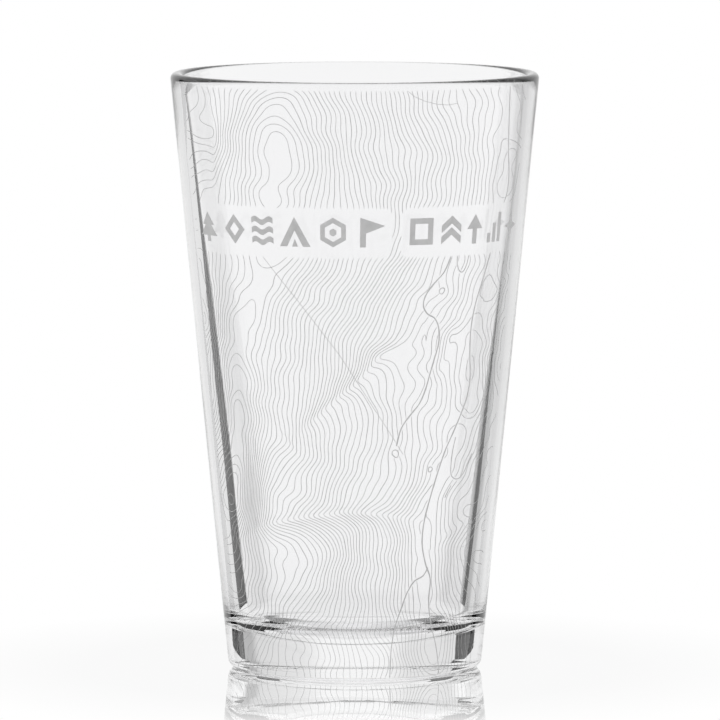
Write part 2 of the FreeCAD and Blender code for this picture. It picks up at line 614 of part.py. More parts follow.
def ribbon(pts, width, step):
    """One raised line: a closed solid that follows the wall, square in section."""
    if length(pts) > 1.0 and math.hypot(*(a - b for a, b in zip(flat(pts[0]), flat(pts[-1])))) < 0.03:
        pts = resample(pts, 0.06)[:-1]
    q = resample(pts, step)
    n = len(q)
    sides = {}
    tilt = (R_RIM - R_FOOT) / H
    for lift in (0.0, THICK):
        left, right = [], []
        for i in range(n):
            a, b = q[max(0, i - 1)], q[min(n - 1, i + 1)]
            z = q[i][1]
            du = math.radians(b[0] - a[0]) * wall(z)
            dz = (b[1] - a[1]) * math.sqrt(1 + tilt * tilt)
            m = math.hypot(du, dz)
            nu, nz = -dz / m * width / 2, du / m * width / 2
            for lst, s in ((left, 1), (right, -1)):
                zz = z + s * nz / math.sqrt(1 + tilt * tilt)
                lst.append(at(q[i][0] + math.degrees(s * nu / wall(z)), zz, lift))
        sides[lift] = (left, right)
    par = [float(i) for i in range(n)]

    def edge(points):
        c = Part.BSplineCurve()
        c.interpolate(Points=points, Parameters=par)
        return c.toShape()

    li, ri = (edge(p) for p in sides[0.0])
    lo, ro = (edge(p) for p in sides[THICK])
    faces = [Part.makeRuledSurface(a, b, 1) for a, b in ((li, ri), (lo, ro), (li, lo), (ri, ro))]
    for k in (0, -1):
        faces.append(Part.makeRuledSurface(Part.makeLine(sides[0.0][0][k], sides[0.0][1][k]),
                                           Part.makeLine(sides[THICK][0][k], sides[THICK][1][k]), 1))
    skin = Part.Compound(faces)
    skin.sewShape(1e-4)
    solid = Part.Solid(skin if skin.ShapeType == "Shell" else skin.Shells[0])
    if solid.Volume < 0:
        solid.reverse()
    return solid


def print_node(name, lines, width, step):
    solids, bad = [], 0
    for pts in lines:
        for finer in (1.0, 0.6, 0.35, 0.8, 0.2):
            try:
                s = ribbon(pts, width, step * finer)
            except Exception:
                continue
            if s.isValid() and s.isClosed() and s.Volume > 0:
                solids.append(s)
                break
        else:
            bad += 1
    obj = doc.addObject("Part::Feature", name)
    obj.Label = name
    obj.Shape = Part.Compound(solids)
    obj.Placement = Placement()
    print("%s: %d lines, %d dropped, %.0f mm" % (name, len(solids), bad, sum(length(p) for p in lines)))
    return obj


nodes = [body]
nodes.append(print_node("contour_lines", fine, cw, 2.0))
nodes.append(print_node("index_contours", index, iw, 2.0))
nodes.append(print_node("stream_lines", streams, sw, 1.6))
nodes.append(print_node("shore_lines", shores, hw, 0.45))
nodes.append(print_node("survey_lines", survey, vw, 1.0))

# ------------------------------ title marks ---------------------------------
# Eleven plain map-legend marks in two groups, standing in for a title.
# Each is drawn flat, x to the right and y up from the foot of the title band,
# pushed straight through the wall and kept only where it meets the thin
# conical shell that is the enamel layer.
TOP = dim("title_top") - dim("title_bottom")


def wave_bar(y, half, wd):
    n = 28
    up = [(-half + 2 * half * k / n, y + wd / 2 + 0.42 * math.sin(2 * math.pi * 1.5 * k / n)) for k in range(n + 1)]
    dn = [(x, v - wd) for x, v in reversed(up)]
    return up + dn


def ngon(cx, cy, r, n, turn=0.0, sx=1.0):
    return [(cx + sx * r * math.cos(turn + 2 * math.pi * k / n), cy + r * math.sin(turn + 2 * math.pi * k / n)) for k in range(n)]


MID = TOP / 2
MARKS = [
    # conifer
    (-58.1, [([(0, TOP), (2.5, 4.0), (1.3, 4.0), (3.5, 1.4), (0.7, 1.4), (0.7, 0), (-0.7, 0), (-0.7, 1.4), (-3.5, 1.4), (-1.3, 4.0), (-2.5, 4.0)], [])]),
    # spot height: open diamond
    (-44.1, [(ngon(0, MID, MID, 4, 0, 0.92), [ngon(0, MID, MID - 1.9, 4, 0, 0.92)])]),
    # water: three waved bars
    (-32.3, [(wave_bar(1.15, 3.0, 1.35), []), (wave_bar(MID, 3.0, 1.35), []), (wave_bar(TOP - 1.15, 3.0, 1.35), [])]),
    # tent
    (-20.3, [([(-3.9, 0), (0, TOP), (3.9, 0), (2.0, 0), (0, 3.9), (-2.0, 0)], []), ([(-0.75, 0), (0, 1.9), (0.75, 0)], [])]),
    # hut: open hexagon with a filled middle
    (-7.2, [(ngon(0, MID, MID, 6, math.pi / 6), [ngon(0, MID, MID - 1.3, 6, math.pi / 6)]), (ngon(0, MID, 0.95, 6, math.pi / 6), [])]),
    # pennant
    (5.8, [([(-2.9, 0), (-2.9, TOP), (3.1, 5.1), (-1.5, 3.3), (-1.5, 0)], [])]),
    # open square
    (22.7, [([(-3.0, 0.35), (3.0, 0.35), (3.0, TOP - 0.35), (-3.0, TOP - 0.35)], [[(-1.65, 1.7), (1.65, 1.7), (1.65, TOP - 1.7), (-1.65, TOP - 1.7)]])]),
    # two chevrons
    (34.0, [([(-2.8, 0.3), (-2.8, 2.1), (0, 4.3), (2.8, 2.1), (2.8, 0.3), (0, 2.5)], []),
            ([(-2.8, 3.0), (-2.8, 4.8), (0, TOP), (2.8, 4.8), (2.8, 3.0), (0, 5.2)], [])]),
    # north arrow
    (44.0, [([(0, TOP), (2.5, 3.6), (0.7, 3.6), (0.7, 0), (-0.7, 0), (-0.7, 3.6), (-2.5, 3.6)], [])]),
    # rising steps
    (54.0, [([(-2.6, 0), (-2.6, 2.3), (-1.4, 2.3), (-1.4, 0)], []), ([(-0.6, 0), (-0.6, 4.6), (0.6, 4.6), (0.6, 0)], []), ([(1.4, 0), (1.4, TOP), (2.6, TOP), (2.6, 0)], [])]),
    # four-pointed star
    (64.7, [([(0, TOP), (0.85, MID + 0.85), (3.1, MID), (0.85, MID - 0.85), (0, 0), (-0.85, MID - 0.85), (-3.1, MID), (-0.85, MID + 0.85)], [])]),
]
prisms = []
for t, shapes in MARKS:
    place = Placement(at(t, dim("title_bottom"), -8.0), Rotation(Vector(0, 0, 1), t))
    for outer, holes in shapes:
        def loop(pts):
            v = [Vector(x, 0, y) for x, y in pts]
            return Part.makePolygon(v + [v[0]])
        face = Part.Face(loop(outer))
        for hole in holes:
            face = face.cut(Part.Face(loop(hole)))
        prism = face.extrude(Vector(0, -14, 0))
        prism.Placement = place
        prisms.append(prism)
cutters = doc.addObject("Part::Feature", "title_prisms")
cutters.Shape = Part.Compound(prisms)


def cone(name, lift):
    c = doc.addObject("Part::Cone", name)
    slope = "(dims.outer_radius_rim - dims.outer_radius_foot) / dims.overall_height"
    c.setExpression("Radius1", "dims.outer_radius_foot + %s * (dims.title_bottom - 1) %s" % (slope, lift))
    c.setExpression("Radius2", "dims.outer_radius_foot + %s * (dims.title_top + 1) %s" % (slope, lift))
    c.setExpression("Height", "dims.title_top - dims.title_bottom + 2")
    c.setExpression("Placement.Base.z", "dims.title_bottom - 1")
    return c


outer = cone("enamel_outside", "+ dims.print_thickness")
inner = cone("enamel_inside", "")
shell = doc.addObject("Part::Cut", "enamel_shell")
shell.Base, shell.Tool = outer, inner
title = doc.addObject("Part::Common", "title_marks")
title.Label = "title_marks"
title.Base, title.Tool = cutters, shell
doc.recompute()
nodes.append(title)

# ------------------------------ check and write -----------------------------
for obj in doc.Objects:
    bad = [s for s in obj.State if s in ("Invalid", "Error")]
    if bad:
        raise RuntimeError("%s is %s" % (obj.Label, bad))
os.makedirs("parts", exist_ok=True)
for obj in nodes:
    s = obj.Shape
    if s.isNull() or not s.isValid() or not s.Solids:
        raise RuntimeError("%s has no valid solid" % obj.Label)
for obj in nodes:
    name = os.path.join("parts", obj.Label + ".step")
    obj.Shape.exportStep(name)
    print("%-16s %4d solids %10.2f mm3 %6.2f MB" % (obj.Label, len(obj.Shape.Solids), obj.Shape.Volume, os.path.getsize(name) / 1e6))
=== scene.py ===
import bpy, bmesh, math
import numpy as np
from mathutils import Vector, Matrix, noise
from mathutils.geometry import delaunay_2d_cdt


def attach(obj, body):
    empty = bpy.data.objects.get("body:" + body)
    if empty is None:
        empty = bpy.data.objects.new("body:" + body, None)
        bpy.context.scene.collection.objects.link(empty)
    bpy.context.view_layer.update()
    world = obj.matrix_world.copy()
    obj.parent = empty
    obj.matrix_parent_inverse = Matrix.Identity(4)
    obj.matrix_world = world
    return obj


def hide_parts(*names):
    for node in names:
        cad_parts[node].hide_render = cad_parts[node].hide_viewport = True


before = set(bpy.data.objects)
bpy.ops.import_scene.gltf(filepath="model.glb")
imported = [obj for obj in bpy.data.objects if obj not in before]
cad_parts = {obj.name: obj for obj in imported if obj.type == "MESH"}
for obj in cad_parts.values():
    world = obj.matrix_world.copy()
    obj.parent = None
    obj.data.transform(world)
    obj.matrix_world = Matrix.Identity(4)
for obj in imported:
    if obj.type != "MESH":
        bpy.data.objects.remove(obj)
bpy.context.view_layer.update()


MM = 0.001

# ---------------------------------------------------------------------------
# Tapered pint glass with a wrap-around contour print.  Lengths below are
# millimetres until a mesh is made.  Angle 0 faces -Y, + towards +X.
# ---------------------------------------------------------------------------
H = 144.2
R_FOOT, R_RIM = 30.55, 44.60
RI_FOOT, RI_RIM = 24.10, 41.48
FLOOR_Z, FLOOR_EDGE, CORNER, HEEL, LIP = 7.5, 11.7, 6.0, 2.4, 1.40
RING_IN, DOME = 25.4, 1.6
THICK, SUNK = 0.045, 0.012
W_FINE, W_INDEX, W_STREAM, W_SHORE, W_SURVEY = 0.135, 0.165, 0.34, 0.24, 0.11
TITLE_LO, TITLE_HI, GAP_LO, GAP_HI = 105.1, 112.2, 102.6, 114.2
HALF = 68.0
TAN_O = (R_RIM - R_FOOT) / H
AO = math.atan(TAN_O)
TAN_I = (RI_RIM - RI_FOOT) / H
AI = math.atan(TAN_I)


def wall(z):
    return R_FOOT + TAN_O * z


def inside(z):
    return RI_FOOT + TAN_I * z


HEEL_X = wall(HEEL) - HEEL / math.cos(AO)
HEEL_TOP = HEEL - HEEL * math.sin(AO)


def skin(z):
    """(radius, outward normal r, outward normal z) of the outside, over the wall and the rounded heel."""
    if z >= HEEL_TOP:
        return wall(z), math.cos(AO), -math.sin(AO)
    s = max(-1.0, min(1.0, (z - HEEL) / HEEL))
    c = math.sqrt(max(0.0, 1 - s * s))
    return HEEL_X + HEEL * c, c, s


def at(t, z, lift=0.0):
    a = math.radians(t)
    r, nr, nz = skin(z)
    r += nr * lift
    return r * math.sin(a), -r * math.cos(a), z + nz * lift


# ------------------------------ the glass -----------------------------------
def glass_profile():
    """Half section from the middle of the push-up, out, up the wall, over the lip and down to the middle of the inside floor."""
    p = []
    rd = (RING_IN ** 2 + DOME ** 2) / (2 * DOME)
    edge = 0.9                                    # the push-up runs into the bearing ring over a soft edge
    n = 30
    for i in range(n + 1):
        x = (RING_IN - edge) * (i / n) ** 0.85
        p.append((x, math.sqrt(rd * rd - x * x) - (rd - DOME)))
    x0, z0 = p[-1]
    x1, z1 = RING_IN + edge, 0.0
    sl = -x0 / math.sqrt(rd * rd - x0 * x0)
    cx = x0 + (z1 - z0) / sl if abs(sl) > 1e-6 else RING_IN
    for i in range(1, 7):
        u = i / 6
        p.append(((1 - u) ** 2 * x0 + 2 * u * (1 - u) * cx + u * u * x1, (1 - u) ** 2 * z0 + u * u * z1))
    for i in range(0, 15):
        a = -math.pi / 2 + (math.pi / 2 - AO) * i / 14
        p.append((HEEL_X + HEEL * math.cos(a), HEEL + HEEL * math.sin(a)))
    # lip: equal fillets on a flat top
    zo = H - LIP
    # centre of the outer fillet lies LIP under the top and LIP inside the wall
    xo = wall(zo) - LIP / math.cos(AO)
    xi = inside(zo) + LIP / math.cos(AI)
    zt = zo - LIP * math.sin(AO)
    for i in range(1, 48):
        z = HEEL_TOP + (zt - HEEL_TOP) * i / 48
        p.append((wall(z), z))
    for i in range(0, 13):
        a = -AO + (math.pi / 2 + AO) * i / 12
        p.append((xo + LIP * math.cos(a), zo + LIP * math.sin(a)))
    zi = zo + LIP * math.sin(AI)
    for i in range(0, 13):
        a = math.pi / 2 + (math.pi / 2 - AI) * i / 12
        p.append((xi + LIP * math.cos(a), zo + LIP * math.sin(a)))
    # inside corner: a fillet between the wall and the round bowl of the floor
    bowl = (inside(FLOOR_EDGE) ** 2 + (FLOOR_EDGE - FLOOR_Z) ** 2) / (2 * (FLOOR_EDGE - FLOOR_Z))
    zb = FLOOR_Z + bowl
    k = RI_FOOT - CORNER / math.cos(AI)           # centre of the fillet: x = k + TAN_I z, and bowl - CORNER from the middle of the bowl
    qa, qb, qc = 1 + TAN_I ** 2, 2 * (k * TAN_I - zb), k * k + zb * zb - (bowl - CORNER) ** 2
    zc = (-qb - math.sqrt(qb * qb - 4 * qa * qc)) / (2 * qa)
    xc = k + TAN_I * zc
    z1 = zc - CORNER * math.sin(AI)
    a1 = math.atan2(zc - zb, xc)
    for i in range(1, 48):
        z = zi + (z1 - zi) * i / 48
        p.append((inside(z), z))
    for i in range(0, 21):
        a = -AI + (a1 + AI) * i / 20
        p.append((xc + CORNER * math.cos(a), zc + CORNER * math.sin(a)))
    xe = p[-1][0]
    for i in range(1, 25):
        x = xe * (1 - i / 24)
        p.append((x, zb - math.sqrt(bowl ** 2 - x * x)))
    return p


def mould(x, z, t):
    """A moulded glass isn't perfect: the inside wall and the floor wander by a few hundredths of a millimetre."""
    return (0.030 * math.sin(3 * t + 0.021 * z + 0.4) + 0.018 * math.sin(5 * t - 0.037 * z + 2.1) + 0.012 * math.sin(8 * t + 0.055 * z + 4.0)
            + 0.008 * math.sin(13 * t - 0.083 * z + 1.0) + 0.010 * math.sin(0.16 * z + 2 * t))


def build_glass(seg=448):
    prof = glass_profile()
    n = len(prof)
    m = n - 2
    inside_edge_z = min(z for x, z in prof[n // 2:] if x > inside(z) - 3.0)
    inner_start = next(i for i in range(n // 2, n) if prof[i][0] < inside(prof[i][1]) + 0.02 and prof[i][1] < H - LIP)
    v = np.zeros((seg * m + 2, 3))
    for j in range(seg):
        a = 2 * math.pi * j / seg
        s, c = math.sin(a), math.cos(a)
        for i in range(1, n - 1):
            x, z = prof[i]
            if i >= inner_start:
                f = min(1.0, (H - LIP - z) / 6.0)
                g = min(1.0, x / 12.0)
                d = mould(x, z, a) * f * g
                if z < inside_edge_z:
                    z += d
                else:
                    x += d
            v[j * m + i - 1] = (x * s, -x * c, z)
    v[-2] = (0, 0, prof[0][1])
    v[-1] = (0, 0, prof[-1][1])
    f = []
    for j in range(seg):
        k = (j + 1) % seg
        for i in range(m - 1):
            f.append((j * m + i, k * m + i, k * m + i + 1, j * m + i + 1))
        f.append((seg * m, k * m, j * m))
        f.append((seg * m + 1, j * m + m - 1, k * m + m - 1))
    return mesh_object("pint_glass_body", v, f)


def mesh_object(name, verts, faces, smooth=True):
    me = bpy.data.meshes.new(name)
    me.from_pydata((np.asarray(verts, float) * MM).tolist(), [], faces)
    me.update()
    me.polygons.foreach_set("use_smooth", [smooth] * len(me.polygons))
    bm = bmesh.new()
    bm.from_mesh(me)
    bmesh.ops.recalc_face_normals(bm, faces=bm.faces)
    bm.to_mesh(me)
    bm.free()
    ob = bpy.data.objects.new(name, me)
    bpy.context.scene.collection.objects.link(ob)
    return ob


# ------------------------------ the print's terrain -------------------------
SPOTS = [
(-59.2,141.8,27), (-48.4,142.2,30), (-39.7,142.5,33.5), (-32.1,142.7,37.5), (-25.1,142.9,39), (-16.9,143,37), (-7.5,143.1,32), (3.1,143.1,25.5),
(13.9,143,18.5), (26.9,142.8,11), (39.9,142.5,5), (55.3,141.9,0.5), (66.6,141.5,2.5), (-59.1,128.1,30.6), (-47.1,128.6,33.2), (-39.2,128.9,38.5),
(-31.4,129.1,42.5), (-25.6,129.3,44.6), (-19.1,129.4,43), (-7.8,129.5,35.5), (3.2,129.6,28), (14.3,129.5,21), (27.9,129.2,13), (41.5,128.8,6),
(58.1,128.2,0.2), (70.6,127.6,2), (-62.5,114.7,34.5), (-50.2,115.3,36), (-40.7,115.7,40.5), (-29.4,116,46), (-21.5,116.2,43.5), (-8,116.4,36),
(3.3,116.4,29), (14.8,116.3,21), (28.9,116.1,12), (43.1,115.6,5), (57.3,115,0), (69.8,114.4,2.5), (-37.9,102.6,42), (-29.7,102.9,43),
(-18.7,103.1,39), (-8.3,103.3,33), (3.4,103.3,27), (15.3,103.2,19), (29.9,102.9,9), (42.6,102.4,4), (51.7,102,0), (64.4,101.4,3.5), (-35,89.5,40.5),
(-23,89.8,35), (-8.6,90.1,27.5), (3.5,90.1,20.5), (15.8,90,12.5), (25.1,89.8,8), (33.1,89.5,6.5), (39.7,89.3,3), (46.5,89,-0.4), (62.7,88.2,4.5),
(-27.6,80.1,35), (-16.1,80.4,29), (-3.5,80.5,21), (9,80.5,13.5), (20,80.3,9), (31.1,80,5.5), (38.5,79.7,3), (45.9,79.4,-0.8), (59.3,78.7,4),
(-28.6,68,34.5), (-16.6,68.3,28.5), (-3.6,68.5,20.5), (9.3,68.4,13), (20.7,68.2,7.5), (33.1,67.9,4.5), (45.7,67.3,-1), (58,66.7,4), (-38,55.6,37),
(-25.4,56,32), (-13.3,56.3,26), (-1.8,56.4,18.5), (9.6,56.4,12.5), (21.4,56.1,6), (32.1,55.8,2), (40.2,55.5,-1.2), (51.4,55,3.5), (-39.3,45.9,35),
(-26.1,46.3,30), (-13.7,46.6,24), (-1.9,46.7,17.5), (9.8,46.7,12), (22,46.5,5.5), (32.6,46.1,-1.5), (41.6,45.8,3), (52.2,45.2,6), (-41,33.7,36.5),
(-27.2,34.2,33), (-14.2,34.5,28.5), (-3.9,34.6,22), (6.1,34.6,14), (16.4,34.5,8), (28.3,34.2,-1.7), (37,33.8,4), (52.1,33.1,8.5), (-38.4,21.6,34),
(-25.9,22.1,29.5), (-14.7,22.4,25.5), (-4.1,22.5,19), (6.4,22.5,12.5), (17.1,22.3,6.5), (32.9,21.8,-2), (41.4,21.5,3.5), (52.1,20.9,8), (-57.2,6,35),
(-40.6,6.9,31.5), (-27.2,7.4,27.5), (-15.4,7.7,23.5), (-4.3,7.9,18.5), (6.7,7.9,13), (20.2,7.6,7), (38.5,7,-2.3), (50.5,6.4,4), (59.3,5.9,7),
(-51.8,91.2,37.4), (-58.5,91.2,33.4), (-64,91,30.5), (-56.2,99,33.6), (-49.5,100,37.2), (-63,100.5,30.5), (-52.5,79.5,40.3), (-57,79.5,36.8),
(-62,79.5,33.8), (-55.5,66.5,42.6), (-61,66.5,38.2), (-41,79.5,40.6), (-42,67.5,42.6), (-69,85,28), (-70,70,33), (-46.1,87.5,40.2), (-45.5,94,38.6),
(-42.5,100,39), (-47.3,79.5,43.2), (-48.4,73,45.2), (-49.9,64.5,47.2), (-50.5,54.8,48.4), (-51.9,45.3,48), (-56.5,54.7,45), (-54.7,33,44.5),
(-53.3,20.9,40),
(90,10,9),(90,60,7),(91,110,6),(90,141,5),(110,20,15),(110,70,12),(110,125,13),(135,20,20),(135,55,17),(135,90,22),(135,130,18),
(160,12,24),(160,60,21),(160,96,34),(160,138,24),(182,22,20),(180,50,15),(182,82,32),(182,130,22),(205,8,18),(205,40,12),(205,75,24),(205,108,30),(205,141,24),
(230,20,24),(230,55,20),(230,90,31),(230,130,27),(255,14,32),(255,50,33),(255,85,36),(255,122,30),(272,8,37),(272,50,38.5),(272,85,38),(272,115,33),(272,138,27)]
WAVES = [
(0.50,3,0.018,0.4),(0.42,5,-0.028,2.1),(0.34,8,0.040,4.0),(0.26,11,-0.052,1.1),(0.20,7,0.085,5.2),(0.15,13,0.105,0.7),
(0.11,5,0.130,3.3),(0.10,17,-0.115,2.6),(0.07,9,-0.160,1.7),(0.06,14,0.185,4.6)]
GULLIES = [
(5.4,3.6,[(-25,58.0),(-14,64.6),(-4,70.2),(3,74.2),(8,78.4),(16,81.0),(26,82.0)]),
(6.8,4.2,[(-56,32.0),(-41,37.2),(-23,39.6),(-4,41.4),(14,40.4),(29,38.4)]),
(2.4,2.6,[(-54.5,117),(-52,124),(-50.4,130),(-50.8,138)]),
(3.0,2.4,[(38,87),(34.5,79),(30.5,72.2)]),
(2.6,3.4,[(-48,6),(-29,11.4),(-10,13.6),(11,11.6),(34,7.4)]),
(2.6,3.2,[(62,71),(52,66),(45,63)]),
(2.6,3.0,[(66,41),(48,37),(32,32)]),
(2.4,3.0,[(72,98),(62,94),(51,92)]),
(4.0,3.8,[(150,120),(140,104),(128,92),(112,86),(92,80)]),
(4.4,3.8,[(176,110),(196,96),(210,84),(216,66),(206,44)]),
(3.6,3.4,[(150,76),(146,60),(150,44),(168,32)]),
(3.8,3.6,[(246,116),(236,98),(222,88),(210,86)]),
(3.4,3.4,[(256,72),(240,62),(222,52),(207,42)]),
(3.0,3.2,[(266,40),(250,30),(236,22)])]

RM, C2 = 37.5, 49.0
PERIOD = 2 * math.pi * RM
S = np.array(SPOTS, float)
MEAN = S[:, 2].mean()
ang = np.radians(S[:, 0])
DRUM = np.stack([RM * np.cos(ang), RM * np.sin(ang), S[:, 1]], 1)
dist = np.sqrt(((DRUM[:, None, :] - DRUM[None, :, :]) ** 2).sum(2) + C2)
dist[np.arange(len(S)), np.arange(len(S))] -= 0.35
WEIGHT = np.linalg.solve(dist, S[:, 2] - MEAN)


def gully(T, Z):
    g = np.zeros_like(T)
    for depth, width, pts in GULLIES:
        q = [(math.radians(a) * RM, b) for a, b in pts]
        um = 0.5 * (q[0][0] + q[-1][0])
        u = np.radians(T) * RM
        u = um + (u - um + PERIOD / 2) % PERIOD - PERIOD / 2
        best = np.full_like(T, 1e9)
        pos = np.zeros_like(T)
        total = 0.0
        for (ax, ay), (bx, by) in zip(q, q[1:]):
            dx, dy = bx - ax, by - ay
            ll = dx * dx + dy * dy
            s = np.clip(((u - ax) * dx + (Z - ay) * dy) / ll, 0, 1)
            dd = (u - ax - s * dx) ** 2 + (Z - ay - s * dy) ** 2
            near = dd < best
            best = np.where(near, dd, best)
            pos = np.where(near, total + s * math.sqrt(ll), pos)
            total += math.sqrt(ll)
        e = np.clip(np.minimum(pos, total - pos) / (0.30 * total), 0, 1)
        e = e * e * (3 - 2 * e)
        add = depth * (0.15 + 0.85 * e) * np.exp(-np.sqrt(best + 0.12) / width)
        g -= np.where((best < (6 * width) ** 2) & (e > 0), add, 0)
    return g


def heights(T, Z):
    a = np.radians(T)
    X, Y = RM * np.cos(a), RM * np.sin(a)
    h = np.full_like(T, MEAN)
    for (x, y, z), w in zip(DRUM, WEIGHT):
        h += w * np.sqrt((X - x) ** 2 + (Y - y) ** 2 + (Z - z) ** 2 + C2)
    for A, k, m, p in WAVES:
        h += A * np.sin(k * a + 2 * math.pi * m * Z + p)
    return h + gully(T, Z)


NT, NZ = 720, 400
Z0, Z1 = 0.75, 142.35
TT, ZZ = np.meshgrid(360.0 * np.arange(NT) / NT - 180.0, Z0 + (Z1 - Z0) * np.arange(NZ + 1) / NZ)
FIELD = heights(TT, ZZ)


def trace(level):
    """Lines of equal level on the grid, which wraps round the glass."""
    F = FIELD - level
    pos = F > 0
    k1 = np.roll(pos, -1, axis=1)
    cell = (pos[:-1].astype(int) + k1[:-1] + pos[1:] + k1[1:])
    js, iz = np.nonzero((cell > 0) & (cell < 4))
    near, where = {}, {}

    def join(a, b):
        near.setdefault(a, []).append(b)
        near.setdefault(b, []).append(a)

    for j, i in zip(js.tolist(), iz.tolist()):
        k = (i + 1) % NT
        a, b, c, d = F[j, i], F[j, k], F[j + 1, k], F[j + 1, i]
        e = []
        if (a > 0) != (b > 0):
            where[(0, i, j)] = (i + a / (a - b), j)
            e.append((0, i, j))
        if (b > 0) != (c > 0):
            where[(1, k, j)] = (i + 1, j + b / (b - c))
            e.append((1, k, j))
        if (d > 0) != (c > 0):
            where[(0, i, j + 1)] = (i + d / (d - c), j + 1)
            e.append((0, i, j + 1))
        if (a > 0) != (d > 0):
            where[(1, i, j)] = (i, j + a / (a - d))
            e.append((1, i, j))
        if len(e) == 2:
            join(e[0], e[1])
        elif (a + b + c + d > 0) == (a > 0):
            join(e[0], e[1])
            join(e[2], e[3])
        else:
            join(e[0], e[3])
            join(e[1], e[2])
    used, chains = set(), []

    def walk(s):
        line = [s]
        used.add(s)
        while True:
            nx = [q for q in near[line[-1]] if q not in used]
            if not nx:
                return line
            used.add(nx[0])
            line.append(nx[0])

    for s in near:
        if s not in used and len(near[s]) == 1:
            chains.append((walk(s), False))
    for s in near:
        if s not in used:
            chains.append((walk(s), True))
    out = []
    for chain, closed in chains:
        pts, turn, last = [], 0.0, None
        for key in chain:
            x, y = where[key]
            x = x % NT
            if last is not None:
                while x + turn - last > NT / 2:
                    turn -= NT
                while x + turn - last < -NT / 2:
                    turn += NT
            last = x + turn
            pts.append((360.0 * (x + turn) / NT - 180.0, Z0 + (Z1 - Z0) * y / NZ))
        if closed:
            pts.append((pts[0][0] + 360.0 * round((pts[-1][0] - pts[0][0]) / 360.0), pts[0][1]))
        out.append(pts)
    return out


# ------------------------------ line tools ----------------------------------
def flat(p):
    return math.radians(p[0]) * wall(p[1]), p[1]


def span(p, q):
    return math.hypot(math.radians(p[0] - q[0]) * wall(0.5 * (p[1] + q[1])), p[1] - q[1])


def length(pts):
    return sum(span(a, b) for a, b in zip(pts, pts[1:]))


def resample(pts, step):
    P = np.array(pts, float)
    r = wall(0.5 * (P[1:, 1] + P[:-1, 1]))
    d = np.hypot(np.radians(P[1:, 0] - P[:-1, 0]) * r, P[1:, 1] - P[:-1, 1])
    s = np.concatenate([[0], np.cumsum(d)])
    n = max(3, int(round(s[-1] / step)))
    x = np.linspace(0, s[-1], n + 1)
    return list(zip(np.interp(x, s, P[:, 0]).tolist(), np.interp(x, s, P[:, 1]).tolist()))


def smooth(pts, rounds):
    P = np.array(pts, float)
    for _ in range(rounds):
        P[1:-1] = 0.25 * P[:-2] + 0.5 * P[1:-1] + 0.25 * P[2:]
    return [tuple(p) for p in P.tolist()]


def curve(pts, step=0.5):
    q = [pts[0]] + list(pts) + [pts[-1]]
    out = []
    for i in range(1, len(q) - 2):
        a, b, c, d = q[i - 1], q[i], q[i + 1], q[i + 2]
        n = max(2, int(span(b, c) / step))
        for k in range(n):
            u = k / n
            out.append(tuple(0.5 * (2 * b[m] + (c[m] - a[m]) * u + (2 * a[m] - 5 * b[m] + 4 * c[m] - d[m]) * u * u
                                    + (3 * b[m] - a[m] - 3 * c[m] + d[m]) * u ** 3) for m in (0, 1)))
    return out + [pts[-1]]


def cut_lines(lines, blocked, step=0.25, shortest=1.2):
    out = []
    for pts in lines:
        run = []
        for p in resample(pts, step):
            if blocked(p):
                if len(run) > 1 and length(run) > shortest:
                    out.append(run)
                run = []
            else:
                run.append(p)
        if len(run) > 1 and length(run) > shortest:
            out.append(run)
    return out


# ------------------------------ listed lines --------------------------------
STREAMS = [
    [(56.5, 142.3), (57.4, 135.0), (58.6, 127.5), (60.4, 121.0), (60.2, 116.8), (58.6, 114.3)],
    [(53.0, 102.5), (50.2, 96.8), (47.0, 90.6), (45.6, 84.6), (45.9, 78.6), (47.0, 73.0), (46.2, 68.4), (43.6, 64.2),
     (40.4, 60.0), (36.8, 55.4), (33.9, 50.2), (31.2, 44.6), (28.9, 38.8), (28.4, 33.4), (30.3, 28.6), (33.2, 24.4),
     (33.0, 19.2), (34.8, 13.6), (38.2, 8.2), (40.4, 3.2), (41.0, 0.9)],
    [(31.8, 27.4), (29.6, 25.4), (25.6, 24.2), (22.6, 21.6), (20.4, 18.2), (17.6, 13.4), (16.2, 8.4), (15.9, 3.6), (15.9, 0.9)],
    [(34.4, 102.4), (32.0, 98.8), (28.4, 96.2), (25.4, 93.6), (24.4, 91.0), (26.0, 88.9), (29.2, 87.6), (31.0, 85.0),
     (31.2, 81.6), (29.8, 78.0), (28.2, 74.2), (26.6, 70.4), (24.4, 67.2), (20.8, 64.4), (17.6, 61.4), (15.9, 57.2)],
]
SHORES = [
    [(41.6, 58.6), (40.4, 54.6), (40.3, 50.2), (41.8, 48.7), (44.6, 48.4), (47.2, 49.6), (49.4, 52.0), (51.6, 54.2)],
    [(37.0, 102.4), (37.2, 100.4), (38.4, 98.7), (40.0, 98.6), (41.4, 100.4), (42.0, 102.4)],
    [(40.9, 46.9), (39.3, 45.4), (38.1, 44.0)],
]
PONDS = [(31.4, 94.2, 0.72, 1.0), (15.6, 55.4, 0.78, 1.15), (30.4, 51.2, 0.62, 0.9), (53.9, 37.6, 0.58, 1.1)]
for t, z, r, e in PONDS:
    ring = []
    for k in range(25):
        a = 2 * math.pi * k / 24
        q = 1 + 0.10 * math.sin(2 * a + t) + 0.06 * math.sin(3 * a + z)
        ring.append((t + math.degrees(r * q * math.cos(a) / wall(z)), z + r * e * q * math.sin(a)))
    SHORES.append(ring)
SURVEY = [
    [(-32.6, 102.4), (-19.4, 91.6), (-5.8, 79.6), (6.4, 67.0), (18.8, 55.0)],
    [(16.6, 142.2), (18.6, 140.9), (22.0, 139.8), (26.0, 139.0), (30.0, 138.7), (33.4, 139.0)],
]
BANDS = [(-66.0, 12.4), (15.6, 70.5)]


